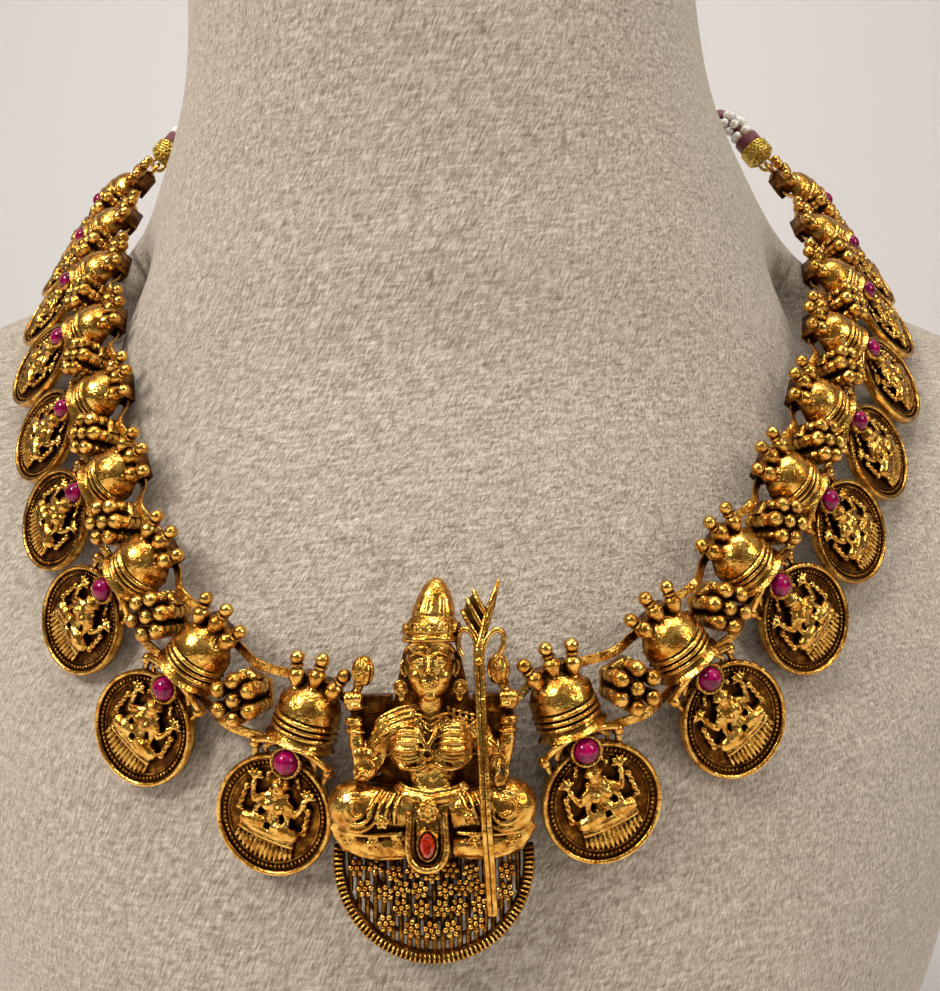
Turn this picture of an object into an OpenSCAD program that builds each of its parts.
// Temple jewellery necklace on a plain neck bust.
// Millimetres. The bust stands on z = 0 and looks towards -y. The necklace hangs a little unevenly,
// as a worn one does: the left side is drawn like the right one and then mirrored about x = 0.

/* [Coin units] */
// diameter of a coin
coin_d = 20; // [17:0.5:21]
// thickness of a coin at its rim
coin_t = 2.0; // [1.4:0.1:2.4]
// height of the figure above the coin's floor
relief_h = 2.9; // [1.5:0.1:3.4]
// radius of the half dome above the coin
dome_r = 5.3; // [4.6:0.1:5.5]
// diameter of a round ruby
ruby_d = 4.0; // [3:0.1:4.2]
// rise of the box tubes behind a unit
tube_h = 2.6; // [2.2:0.1:2.8]

/* [Ball clusters] */
// diameter of one ball
ball_d = 2.8; // [2.2:0.1:2.85]
// distance between ball middles
ball_pitch = 3.1; // [2.9:0.05:3.15]
// height of a ball's middle above the back of the units
ball_z = 4.6; // [3:0.1:5.4]

/* [Links] */
// width of a flat strip link
strip_w = 1.6; // [1:0.1:1.8]
// thickness of a flat strip link
strip_t = 0.5; // [0.3:0.05:0.6]
// how far a strip bends outwards between two units
strip_bow = 2.4; // [0:0.1:3]

/* [Pendant] */
// distance of the pendant's back from the neck's middle line
pendant_y = 77.5; // [76:0.5:82]
// height of the pendant's middle above the table
pendant_z = 92.8; // [88:0.1:96]
// lean of the pendant from upright
pendant_lean = 11; // [8:0.5:18]
// sideways lean of the pendant
pendant_roll = -1.75; // [-4:0.25:4]
// sideways place of the pendant
pendant_x = -0.4; // [-1:0.1:1]
// radius of the pierced skirt
skirt_r = 15.6; // [14:0.1:16.4]

/* [Rope] */
// diameter of the seed pearl rope round the back of the neck
rope_d = 6.2; // [5:0.1:6.8]
// diameter of the gold wrap at the rope's end
zari_d = 7.2; // [6:0.1:8]

/* [Hidden] */
$fn = 48;

gold = [0.80, 0.60, 0.24];
suede = [0.72, 0.67, 0.60];
ruby_red = [0.60, 0.05, 0.22];
navette_red = [0.72, 0.14, 0.06];
maroon = [0.40, 0.05, 0.09];
pearl = [0.93, 0.90, 0.84];

// The bust by height: half width and front and back of the round column, half width and half depth
// of the shoulders, how far back the shoulders sit, and how far the column leans sideways.
bust_rows = [
    //  z, core_w, front, back, wide_w, wide_d, set_back, lean
    [   0,  88.5, 81,   58,    85.5,  54,   -1,    0.0],
    [  45,  96.5, 78.5, 62,   102.5,  56.5, -1.5,  0.0],
    [  85,  92.5, 73,   63,   115,    53.5,  0.5,  0.0],
    [ 105,  86,   68,   62,   126,    47,    2.5,  0.0],
    [ 120,  82,   62.3, 60,   133,    40.8,  5.5,  0.0],
    [ 135,  79.5, 56.7, 56.5, 137.5,  33.6, 10,    0.0],
    [ 150,  76.5, 51.4, 53.5, 134.5,  26.4, 17,    0.1],
    [ 162,  73.5, 49,   51,   122,    20.5, 22.8,  0.1],
    [ 175,  68,   48.5, 50,    90,    19,   20,    0.0],
    [ 190,  63.5, 47,   49,    62.5,  23,    8,   -0.7],
    [ 215,  56,   47.5, 48.5,  35,    27,    0.5, -2.7],
    [ 250,  53,   48,   48,    18,    29.5, -1.5, -5.2],
];
bust_h = 250;

// Each coin unit from the pendant back: where the middle of its dome's back is, and how it is
// turned, as rotate() takes it. Both tables are for the right side; the left one is mirrored.
right_rows = [
    //   x,     y,     z,   turn_x, turn_y, turn_z
    [ 18.8, -74.2, 104.5,   87.4,  -20.6,   15.0],
    [ 36.4, -66.6, 112.3,   84.9,  -37.5,   23.8],
    [ 49.0, -55.4, 124.2,   78.8,  -46.9,   35.5],
    [ 60.1, -43.4, 136.9,   70.6,  -49.8,   49.6],
    [ 69.0, -30.5, 150.4,   60.8,  -48.7,   63.7],
    [ 75.4, -16.6, 164.2,   50.7,  -45.2,   74.9],
    [ 79.3,  -1.0, 177.2,   44.4,  -41.0,   83.6],
    [ 81.1,  15.4, 189.5,   41.3,  -37.9,   91.2],
    [ 79.9,  31.6, 202.4,   38.8,  -35.0,   99.0],
];
left_rows = [
    [ 19.5, -74.1, 102.0,   87.6,  -17.3,   13.0],
    [ 37.8, -67.2, 109.5,   85.7,  -36.7,   22.8],
    [ 50.5, -56.3, 121.8,   80.0,  -48.8,   35.1],
    [ 59.5, -44.0, 136.0,   68.5,  -54.2,   51.6],
    [ 66.6, -31.0, 150.5,   55.9,  -53.0,   67.5],
    [ 72.7, -17.2, 164.7,   46.9,  -48.1,   78.2],
    [ 77.1,  -1.8, 177.9,   42.9,  -42.4,   85.4],
    [ 80.1,  14.4, 190.3,   41.4,  -38.0,   91.1],
    [ 82.5,  31.4, 201.9,   40.7,  -34.1,   95.9],
];
function rows_of(left) = left ? left_rows : right_rows;

// The rope's middle line on the right, from the thread wrap to the clasp.
rope_rows = [
    //  x,   y,    z
    [67.0, 49.0, 222.6],
    [58.0, 57.0, 227.5],
    [45.0, 60.0, 230.5],
    [30.0, 59.0, 232.5],
    [15.0, 57.0, 233.6],
    [ 0.0, 55.8, 234.0],
];

// turn of the wraps about the end ring
end_turn = 38;
tube_y = 1.4;
low_tube_y = -10.4;
lug_y = (tube_y - low_tube_y - strip_w) / 2 - 0.3;
coin_y = -10.2 - coin_d / 2;
stone_y = -10.5;

// Smooth steps between the rows of a table whose first column is the place.
function span_of(rows, x, i = 0) =
    (i >= len(rows) - 2 || x < rows[i + 1][0]) ? i : span_of(rows, x, i + 1);
function slope_at(rows, i) =
    let(a = max(i - 1, 0), b = min(i + 1, len(rows) - 1))
    (rows[b] - rows[a]) / (rows[b][0] - rows[a][0]);
function eased(rows, x) =
    let(i = span_of(rows, x), h = rows[i + 1][0] - rows[i][0], t = (x - rows[i][0]) / h)
    (2 * t ^ 3 - 3 * t ^ 2 + 1) * rows[i] + (t ^ 3 - 2 * t ^ 2 + t) * h * slope_at(rows, i)
    + (3 * t ^ 2 - 2 * t ^ 3) * rows[i + 1] + (t ^ 3 - t ^ 2) * h * slope_at(rows, i + 1);

// Distance to an oval w by d, whose middle is off in y, from the ring's middle in one direction.
function oval(w, d, off, c, s) =
    let(
        qa = (c / w) ^ 2 + (s / d) ^ 2,
        qb = 2 * s * off / d ^ 2,
        qc = (off / d) ^ 2 - 1
    )
    (-qb + sqrt(qb ^ 2 - 4 * qa * qc)) / (2 * qa);
// Distance of the bust's skin from its ring's middle, half the set-back behind the middle line.
function skin(row, c, s) =
    let(
        core = oval(row[1], s < 0 ? row[2] : row[3], row[6] / 2, c, s),
        wide = oval(row[4], row[5], -row[6] / 2, c, s)
    )
    (core ^ 7 + wide ^ 7) ^ (1 / 7);
function edge_inset(z) =
    z < 3 ? 3 - sqrt(9 - (3 - z) ^ 2) : z > bust_h - 3 ? 3 - sqrt(max(0, 9 - (z - bust_h + 3) ^ 2)) : 0;

// The same turns as rotate([a, b, c]), for points.
function spin(e, v) =
    let(
        p = [v[0], v[1] * cos(e[0]) - v[2] * sin(e[0]), v[1] * sin(e[0]) + v[2] * cos(e[0])],
        q = [p[0] * cos(e[1]) + p[2] * sin(e[1]), p[1], -p[0] * sin(e[1]) + p[2] * cos(e[1])]
    )
    [q[0] * cos(e[2]) - q[1] * sin(e[2]), q[0] * sin(e[2]) + q[1] * cos(e[2]), q[2]];
function turn_of(row) = [row[3], row[4], row[5]];
function put(row, v) = [row[0], row[1], row[2]] + spin(turn_of(row), v);
function unit(v) = v / norm(v);

module at_row(row) {
    translate([row[0], row[1], row[2]])
        rotate(turn_of(row))
            children();
}

module side(left) {
    if (left) mirror([1, 0, 0]) children();
    else children();
}

// A round bar from a to b, a little fuller at its ends so that bars join cleanly.
module bar(a, b, ra, rb) {
    d = b - a;
    translate(a)
        rotate([0, acos(d[2] / norm(d)), atan2(d[1], d[0])])
            cylinder(h = norm(d), r1 = ra, r2 = rb);
}

module limb(a, b, ra, rb) {
    bar(a, b, ra, rb);
    translate(b) sphere(r = rb * 1.04);
}

// A closed skin over rings of equally many points.
module skinned(rings) {
    n = len(rings[0]);
    m = len(rings);
    first = n * m;
    mid_a = [for (k = [0:2]) [for (p = rings[0]) p[k]] * [for (p = rings[0]) 1 / n]];
    mid_b = [for (k = [0:2]) [for (p = rings[m - 1]) p[k]] * [for (p = rings[m - 1]) 1 / n]];
    polyhedron(
        points = concat([for (r = rings) for (p = r) p], [mid_a, mid_b]),
        faces = concat(
            [for (i = [0:m - 2]) for (j = [0:n - 1]) [i * n + j, (i + 1) * n + j, (i + 1) * n + (j + 1) % n]],
            [for (i = [0:m - 2]) for (j = [0:n - 1]) [i * n + j, (i + 1) * n + (j + 1) % n, i * n + (j + 1) % n]],
            [for (j = [0:n - 1]) [first, j, (j + 1) % n]],
            [for (j = [0:n - 1]) [first + 1, (m - 1) * n + (j + 1) % n, (m - 1) * n + j]]
        ),
        convexity = 6
    );
}

module neck_bust() {
    levels = concat([0, 0.8, 3], [for (z = [13:9:238]) z], [247, 249.2, bust_h]);
    around = 64;
    color(suede)
        skinned([for (z = levels) let(row = eased(bust_rows, z))
            [for (j = [0:around - 1])
                let(
                    t = -360 * j / around,
                    d = unit([1.6 * cos(t), sin(t)]),
                    r = skin(row, d[0], d[1]) - edge_inset(z)
                )
                [row[7] + r * d[0], row[6] / 2 + r * d[1], z]]]);
}

// The figure on a coin: crowned, seated, two raised lotuses, a lotus seat below.
module coin_relief(z0) {
    h = relief_h;
    translate([0, coin_y, z0]) {
        translate([0, 4.6, h * 0.4]) sphere(r = 1.4);
        bar([0, 5.3, h * 0.33], [0, 7.5, h * 0.2], 1.3, 0.5);
        bar([0, -0.6, h * 0.2], [0, 3.4, h * 0.3], 1.6, 2.0);
        for (s = [-1, 1]) {
            bar([s * 1.6, 2.9, h * 0.2], [s * 3.5, 1.4, h * 0.16], 0.75, 0.62);
            limb([s * 3.3, 1.3, h * 0.16], [s * 4.3, 3.5, h * 0.16], 0.66, 0.52);
            translate([s * 4.6, 4.8, h * 0.1]) sphere(r = 1.1);
            translate([s * 4.0, -1.7, h * 0.2]) sphere(r = 1.35);
        }
        bar([-4.0, -1.7, h * 0.2], [4.0, -1.7, h * 0.2], 1.12, 1.1);
        translate([0.3, -1.5, h * 0.32]) sphere(r = 1.2);
        for (k = [-3:3])
            bar([k * 1.2, -3.0, 0.25], [k * 1.42, -7.6 + 0.24 * k * k, 0.15], 0.6, 0.72);
    }
}

// The back of a bead box: open at both ends for the strips.
module box_tube(y) {
    difference() {
        translate([-3.2, y - 1.5, -tube_h]) cube([6.4, 3.0, tube_h + 1.1]);
        translate([-4, y - 1.05, -1.3 - 0.55]) cube([8, 2.1, 1.1]);
    }
}

// A vase with a ball on its neck.
module bud(x, y, turn) {
    translate([x, y, 2.0])
        rotate([0, 0, turn]) {
            bar([0, -1.6, 0], [0, 1.5, 0], 0.95, 1.45);
            bar([0, 1.4, 0], [0, 3.5, 0], 1.5, 0.7);
            translate([0, 4.3, 0]) sphere(r = 1.2);
        }
}

// One half of a bell: dome, three ridges and a flare, turned about the unit's own y.
module bell() {
    r = dome_r;
    dome = [for (k = [0:8]) [r * sin(11.25 * k), -3 + r * cos(11.25 * k)]];
    ridges = [for (k = [0:12]) [r - 0.1 + 0.38 * abs(sin(45 * k)), -3.3 - 0.25 * k]];
    intersection() {
        rotate([-90, 0, 0])
            rotate_extrude()
                polygon(concat([[0, -7.6]], [for (p = concat(dome, ridges)) p],
                               [[r - 0.25, -6.6], [r + 0.1, -7.1], [r + 0.65, -7.6]]));
        translate([-8, -10, 0]) cube([16, 16, 8]);
    }
}

module coin_unit() {
    z0 = 1.0;
    floor_z = z0 + coin_t - 0.7;
    color(gold) {
        translate([0, coin_y, z0])
            difference() {
                cylinder(h = coin_t, d = coin_d);
                translate([0, 0, coin_t - 0.7]) cylinder(h = 1, d = coin_d - 1.8);
            }
        translate([0, coin_y, floor_z])
            difference() {
                translate([0, 0, -0.1]) cylinder(h = 0.6, d = coin_d - 2.1);
                translate([0, 0, -0.2]) cylinder(h = 1, d = coin_d - 3.7);
            }
        coin_relief(floor_z);
        // bezel on a stem from the bell
        difference() {
            translate([0, stone_y, 0.2]) cylinder(h = 4.6, r = ruby_d / 2 + 0.65);
            translate([0, stone_y, 4.0]) cylinder(h = 2, r = ruby_d / 2 + 0.1);
        }
        // moustache bar with a ball at each end
        translate([0, -7.5, 4.5])
            rotate([39, 0, 0])
                translate([0, -8.5, 0])
                    rotate([0, 0, 37])
                        rotate_extrude(angle = 106)
                            translate([8.5, 0]) circle(r = 0.62);
        for (s = [-1, 1]) {
            translate([s * 6.5, -10.2, 2.3]) sphere(r = 1.05);
            bar([s * 6.45, -10.3, 2.1], [s * 6.0, -12.6, 2.0], 0.7, 0.6);
        }
        bell();
        for (k = [-1:1])
            bud(k * 2.9, k == 0 ? 2.1 : 1.2, -k * 17);
        box_tube(tube_y);
        box_tube(low_tube_y);
    }
}

// The last unit has an eye for the end ring.
module end_unit() {
    color(gold) {
        coin_unit();
        translate([4.9, tube_y, -0.4]) rotate([90, 0, 0]) rotate_extrude() translate([1.5, 0]) circle(r = 0.45);
        translate([2.6, tube_y - 0.6, -0.9]) cube([1.3, 1.2, 1.6]);
    }
}

module ball_cluster() {
    back = strip_bow - 1.3;
    color(gold) {
        for (k = [0:6]) {
            r = k == 0 ? 0 : ball_pitch;
            translate([r * cos(60 * k), r * sin(60 * k), -back]) {
                translate([0, 0, -1.6]) cylinder(h = ball_z + 1.6, r = ball_d / 2 - 0.15);
                translate([0, 0, ball_z]) sphere(d = ball_d);
            }
        }
        translate([0, 0, -back - 1.9]) cylinder(h = 1.2, r = ball_pitch + 0.7);
        // lugs that meet the strips above and below
        for (s = [-1, 1])
            translate([-1.3, s * (lug_y - 1.6) - 1.3, -0.9]) cube([2.6, 2.6, 1.8]);
    }
}

module ruby() {
    r = ruby_d / 2;
    color(ruby_red)
        translate([0, stone_y, 4.05])
            intersection() {
                translate([0, 0, -0.6]) sphere(r = r * 1.18);
                cylinder(h = 3, r = r);
            }
}

// The middle line of a strip between the tubes of two units, from t = 0 to 1.
function strip_point(a, b, y, xa, xb, bow, t) =
    let(
        s = put(a, [xa, y, -1.3]),
        e = put(b, [xb, y, -1.3]),
        l = norm(e - s),
        da = spin(turn_of(a), [1, 0, 0]),
        db = spin(turn_of(b), [1, 0, 0]),
        n = unit(spin(turn_of(a), [0, 0, 1]) * (1 - t) + spin(turn_of(b), [0, 0, 1]) * t)
    )
    (2 * t ^ 3 - 3 * t ^ 2 + 1) * s + (t ^ 3 - 2 * t ^ 2 + t) * l * da
    + (3 * t ^ 2 - 2 * t ^ 3) * e + (t ^ 3 - t ^ 2) * l * db + bow * sin(180 * t) ^ 4 * n;

function strip_rings(a, b, y, xa, xb, bow) =
    [for (k = [0:11])
        let(
            t = k / 11,
            n = unit(spin(turn_of(a), [0, 0, 1]) * (1 - t) + spin(turn_of(b), [0, 0, 1]) * t),
            w = unit(spin(turn_of(a), [0, 1, 0]) * (1 - t) + spin(turn_of(b), [0, 1, 0]) * t),
            m = strip_point(a, b, y, xa, xb, bow, t)
        )
        [m - w * strip_w / 2 - n * strip_t / 2, m - w * strip_w / 2 + n * strip_t / 2,
         m + w * strip_w / 2 + n * strip_t / 2, m + w * strip_w / 2 - n * strip_t / 2]];

// The place midway between the upper and the lower strip, where a cluster sits.
function strip_middle(a, b) =
    (strip_point(a, b, tube_y, 1.2, -1.2, strip_bow, 0.5)
     + strip_point(a, b, low_tube_y, 1.2, -1.2, strip_bow, 0.5)) / 2;

module strip_links(left) {
    rows = rows_of(left);
    color(gold) {
        for (i = [0:7])
            for (y = [tube_y, low_tube_y])
                skinned(strip_rings(rows[i], rows[i + 1], y, 1.2, -1.2, strip_bow));
        skinned(strip_rings(hook_row(left), rows[0], tube_y, 0.9, -2.2, 0));
    }
}

// The pendant's own side tube as a row of the same kind as a unit's.
function pendant_row(s) =
    [s * pendant_x, -pendant_y, pendant_z, 90 - pendant_lean, s * pendant_roll, 0];
function hook_row(left) =
    let(row = pendant_row(left ? -1 : 1))
    concat(put(row, [11.0, 8.8 - tube_y, 0]), turn_of(row));

module flower(r, z, h) {
    translate([0, 0, z]) cylinder(h = h, r = r, $fn = 10);
    translate([0, 0, z]) cylinder(h = h + 0.35, r = r * 0.4, $fn = 8);
}

module pendant_skirt() {
    cy = -14.8;
    rows = [[11.9, 10], [8.9, 8], [5.9, 5], [3.0, 3]];
    translate([0, cy, 0]) {
        difference() {
            cylinder(h = 1.5, r = skirt_r - 0.6);
            translate([-20, 2.2, -1]) cube([40, 20, 5]);
            for (q = [0:2])
                for (k = [0:rows[q][1] - 2])
                    rotate([0, 0, 180 + 180 * (k + 1) / rows[q][1]])
                        translate([rows[q][0] - 1.3, 0, -1]) cylinder(h = 4, r = 0.62, $fn = 8);
        }
        for (q = [0:3])
            for (k = [0:rows[q][1] - 1])
                rotate([0, 0, 180 + 180 * (k + 0.5) / rows[q][1]])
                    translate([rows[q][0], 0, 0]) flower(1.2, 1.4, 0.7);
        rotate([0, 0, 172])
            rotate_extrude(angle = 196)
                polygon([[skirt_r - 2.2, 0], [skirt_r, 0], [skirt_r, 1.9], [skirt_r - 0.5, 2.5],
                         [skirt_r - 1.7, 2.5], [skirt_r - 2.2, 1.9]]);
    }
}

module goddess_pendant() {
    color(gold) {
        pendant_skirt();
        // back plate
        difference() {
            linear_extrude(1.3)
                polygon([[-4.5, 17], [4.5, 17], [6, 9.4], [12, 10.4], [13.2, 6], [12, 1], [8, -2], [14.5, -4.5],
                         [15.4, -9], [12, -13.5], [-12, -13.5], [-15.4, -9], [-14.5, -4.5], [-8, -2],
                         [-12, 1], [-13.2, 6], [-12, 10.4], [-6, 9.4]]);
            for (s = [-1, 1]) {
                translate([s * 8.2, 5.4, -1]) cylinder(h = 4, r = 1.3);
                translate([s * 7.2, 0.6, -1]) cylinder(h = 4, r = 0.9);
            }
        }
        // crown
        bar([0.2, 18.6, 3.3], [0.25, 19.5, 3.3], 4.75, 4.6);
        bar([0.25, 19.4, 3.3], [0.5, 22.7, 3.2], 4.35, 3.45);
        bar([0.5, 22.6, 3.2], [0.8, 25.8, 3.1], 3.3, 2.6);
        bar([0.8, 25.7, 3.1], [0.95, 27.4, 3.0], 2.5, 1.5);
        bar([0.95, 27.2, 3.0], [1.0, 28.7, 3.0], 1.35, 0.45);
        // face, ears and neck
        bar([0, 14.8, 3.9], [0.1, 18.8, 3.6], 3.95, 4.3);
        translate([0, 14.8, 4.0]) sphere(r = 3.98);
        bar([0, 10.6, 4.6], [0, 14.2, 4.3], 1.8, 3.5);
        bar([0, 6.8, 3.0], [0, 11.4, 3.4], 2.5, 2.0);
        for (s = [-1, 1]) {
            bar([s * 4.1, 12.2, 3.0], [s * 4.2, 15.6, 3.0], 0.8, 0.7);
            translate([s * 4.7, 11.3, 3.0]) sphere(r = 1.3);
            // shoulders, bust and arms
            limb([s * 1.6, 6.8, 3.0], [s * 6.6, 5.6, 2.8], 2.2, 2.0);
            translate([s * 3.6, 3.2, 3.6]) sphere(r = 3.2);
            limb([s * 6.8, 5.4, 2.8], [s * 10.4, 0.6, 2.6], 1.8, 1.3);
            limb([s * 10.4, 0.6, 2.6], [s * 12.1, 6.8, 2.8], 1.25, 1.05);
            bar([s * 12.1, 5.6, 2.8], [s * 12.2, 7.0, 2.8], 1.5, 1.5);
            translate([s * 12.2, 9.9, 2.9]) sphere(r = 1.85);
            bar([s * 11.9, 10.8, 2.9], [s * 10.6, 13.8, 2.9], 0.9, 1.4);
            bar([s * 10.6, 13.7, 2.9], [s * 10.4, 16.4, 2.9], 1.6, 0.6);
            limb([s * 7.4, 2.6, 2.2], [s * 10.4, -1.6, 3.4], 1.3, 1.5);
            bar([s * 10.4, -1.2, 3.6], [s * 10.6, 2.0, 3.8], 1.6, 1.0);
            // folded legs
            limb([s * 3.4, -7.4, 3.0], [s * 11.6, -7.0, 3.4], 3.2, 4.1);
            limb([s * 12.8, -10.4, 2.6], [s * 3.2, -12.4, 2.4], 2.3, 1.9);
        }
        bar([0, -2.6, 3.0], [0, 5.4, 3.2], 3.5, 4.6);
        bar([0, -7.0, 3.0], [0, -2.4, 3.0], 5.2, 3.6);
        // belt and sash panel
        translate([-5.2, -6.2, 3.2]) cube([10.4, 1.8, 2.9]);
        translate([-0.4, -6.7, 5.6]) cylinder(h = 1.6, r = 1.7);
        difference() {
            linear_extrude(6.6)
                polygon([[-3.5, -6.9], [-3.8, -12.9], [-2.7, -15.2], [-0.6, -15.9], [1.5, -15.2],
                         [2.6, -12.9], [2.4, -6.9]]);
            translate([-0.6, -11.8, 6.0]) scale_ring(1.35, 2.05);
        }
        // staff with its leaf fan
        bar([9.0, -22.5, 3.4], [8.4, -8.4, 7.9], 0.78, 0.82);
        bar([8.42, -8.8, 7.85], [7.55, 16.8, 5.4], 0.8, 0.76);
        bar([7.5, 15.6, 5.2], [10.5, 27.7, 4.0], 0.95, 0.5);
        bar([7.5, 15.8, 5.1], [6.8, 26.2, 3.8], 0.8, 0.55);
        bar([7.5, 15.8, 5.0], [5.2, 23.6, 3.8], 0.75, 0.5);
        bar([7.4, 16.2, 5.0], [4.8, 20.2, 4.4], 0.6, 0.52);
        bar([4.85, 20.1, 4.4], [4.7, 17.2, 4.2], 0.5, 0.45);
        bar([7.6, 16.2, 5.0], [10.9, 20.2, 4.4], 0.6, 0.52);
        bar([10.85, 20.1, 4.4], [10.6, 17.0, 4.2], 0.5, 0.45);
        // side tubes
        for (s = [-1, 1])
            translate([s * 9.6, 8.8 - tube_y, 0]) box_tube(tube_y);
    }
}

// A pointed oval seat or stone outline, as a prism.
module scale_ring(w, h) {
    linear_extrude(4)
        intersection() {
            r = (w * w + h * h) / (2 * w);
            translate([r - w, 0]) circle(r = r);
            translate([w - r, 0]) circle(r = r);
        }
}

module at_pendant() {
    at_row(pendant_row(1))
        children();
}

// A navette with a table and two rows of facets.
module sash_stone() {
    tips = 12;
    ring = [for (k = [0:tips - 1])
        let(a = 360 * k / tips) [1.2 * cos(a) * abs(cos(a)) ^ 0.05, 1.9 * sin(a) * (1 - 0.12 * cos(a) ^ 2)]];
    color(navette_red)
        at_pendant()
            translate([-0.6, -11.8, 6.1])
                skinned([
                    [for (p = ring) [p[0] * 0.9, p[1] * 0.9, 0]],
                    [for (p = ring) [p[0], p[1], 0.4]],
                    [for (p = ring) [p[0] * 0.86, p[1] * 0.86, 0.9]],
                    [for (p = ring) [p[0] * 0.55, p[1] * 0.6, 1.3]]
                ]);
}

// The end of the chain: ring, gold wrap and thread wrap on one line through the last unit's eye.
module at_end(left) {
    at_row(rows_of(left)[8])
        translate([7.5, tube_y, -0.4])
            children();
}

module end_ring(left) {
    color(gold)
        at_end(left)
            rotate_extrude() translate([2.4, 0]) circle(r = 0.55);
}

// Turned about x: a sleeve from x0 to x1 with a row of rounded ridges.
function ridged(x0, x1, r, rise, count) =
    [for (k = [0:6 * count]) [r + rise * abs(sin(30 * k)), x0 + (x1 - x0) * k / (6 * count)]];

module zari_cap(left) {
    color(gold)
        at_end(left)
            rotate([0, 0, end_turn]) {
                translate([2.6, 0, 0])
                    rotate([90, 0, 0])
                        rotate_extrude() translate([1.5, 0]) circle(r = 0.45);
                rotate([90, 0, 90])
                    rotate_extrude()
                        polygon(concat([[0, 3.85], [1.3, 3.85], [2.7, 4.8]],
                                       ridged(4.9, 8.4, zari_d / 2 - 0.5, 0.5, 4), [[0, 8.4]]));
            }
}

module thread_wrap(left) {
    color(maroon)
        at_end(left)
            rotate([0, 0, end_turn])
                rotate([90, 0, 90])
                    rotate_extrude()
                        polygon(concat([[0, 8.8]], ridged(8.8, 11.6, 2.6, 0.5, 3), [[0, 11.6]]));
}

// The rope's middle line runs on from the thread wrap.
function end_point(left, x) =
    put(rows_of(left)[8], [7.5 + x * cos(end_turn), tube_y + x * sin(end_turn), -0.4]);
function rope_at(rope_line, u) =
    let(
        n = len(rope_line),
        i = min(floor(u), n - 2),
        t = u - i,
        p0 = rope_line[max(i - 1, 0)],
        p1 = rope_line[i],
        p2 = rope_line[i + 1],
        p3 = i + 2 < n ? rope_line[i + 2] : [-rope_line[n - 2][0], rope_line[n - 2][1], rope_line[n - 2][2]]
    )
    0.5 * ((2 * p1) + (p2 - p0) * t + (2 * p0 - 5 * p1 + 4 * p2 - p3) * t ^ 2
           + (3 * p1 - p0 - 3 * p2 + p3) * t ^ 3);

module pearl_rope(left) {
    rope_line = concat([end_point(left, 12.1), end_point(left, 16.5)], rope_rows);
    last = len(rope_line) - 1 - 5.1 / 15;
    steps = 36;
    color(pearl)
        skinned([for (k = [0:steps])
            let(
                u = last * k / steps,
                d = unit(rope_at(rope_line, u + 0.02) - rope_at(rope_line, max(u - 0.02, 0))),
                e = unit(cross([0, 0, 1], d)),
                f = cross(d, e),
                r = rope_d / 2 - (k == 0 || k == steps ? 0.4 : 0)
            )
            [for (j = [0:13]) rope_at(rope_line, u) + r * (cos(360 * j / 14) * f + sin(360 * j / 14) * e)]]);
}

module clasp() {
    p = rope_rows[5];
    color(gold)
        translate(p)
            rotate([0, 90, 0]) {
                translate([0, 0, -4.4]) cylinder(h = 8.8, r = 2.6);
                for (z = [-3.9, 0, 3.9])
                    translate([0, 0, z]) rotate_extrude() translate([2.4, 0]) circle(r = 0.6);
            }
}

module rubies(left) {
    for (row = rows_of(left))
        at_row(row) ruby();
}

module unit_node(i, left) {
    side(left)
        at_row(rows_of(left)[i - 1])
            if (i == 9) end_unit();
            else coin_unit();
}

module cluster_node(i, left) {
    a = rows_of(left)[i - 1];
    b = rows_of(left)[i];
    side(left)
        translate(strip_middle(a, b))
            rotate(turn_of((a + b) / 2))
                ball_cluster();
}

neck_bust();
at_pendant() goddess_pendant();
sash_stone();
unit_node(1, true);  // coin_unit_L1
unit_node(2, true);  // coin_unit_L2
unit_node(3, true);  // coin_unit_L3
unit_node(4, true);  // coin_unit_L4
unit_node(5, true);  // coin_unit_L5
unit_node(6, true);  // coin_unit_L6
unit_node(7, true);  // coin_unit_L7
unit_node(8, true);  // coin_unit_L8
unit_node(9, true);  // coin_unit_L9
unit_node(1, false);  // coin_unit_R1
unit_node(2, false);  // coin_unit_R2
unit_node(3, false);  // coin_unit_R3
unit_node(4, false);  // coin_unit_R4
unit_node(5, false);  // coin_unit_R5
unit_node(6, false);  // coin_unit_R6
unit_node(7, false);  // coin_unit_R7
unit_node(8, false);  // coin_unit_R8
unit_node(9, false);  // coin_unit_R9
cluster_node(1, true);  // ball_cluster_L1
cluster_node(2, true);  // ball_cluster_L2
cluster_node(3, true);  // ball_cluster_L3
cluster_node(4, true);  // ball_cluster_L4
cluster_node(5, true);  // ball_cluster_L5
cluster_node(6, true);  // ball_cluster_L6
cluster_node(7, true);  // ball_cluster_L7
cluster_node(8, true);  // ball_cluster_L8
cluster_node(1, false);  // ball_cluster_R1
cluster_node(2, false);  // ball_cluster_R2
cluster_node(3, false);  // ball_cluster_R3
cluster_node(4, false);  // ball_cluster_R4
cluster_node(5, false);  // ball_cluster_R5
cluster_node(6, false);  // ball_cluster_R6
cluster_node(7, false);  // ball_cluster_R7
cluster_node(8, false);  // ball_cluster_R8
side(true) rubies(true);  // rubies_left
side(false) rubies(false);  // rubies_right
side(true) strip_links(true);  // strip_links_left
side(false) strip_links(false);  // strip_links_right
side(true) end_ring(true);  // end_ring_left
side(false) end_ring(false);  // end_ring_right
side(true) zari_cap(true);  // zari_cap_left
side(false) zari_cap(false);  // zari_cap_right
side(true) thread_wrap(true);  // thread_wrap_left
side(false) thread_wrap(false);  // thread_wrap_right
side(true) pearl_rope(true);  // pearl_rope_left
side(false) pearl_rope(false);  // pearl_rope_right
clasp();
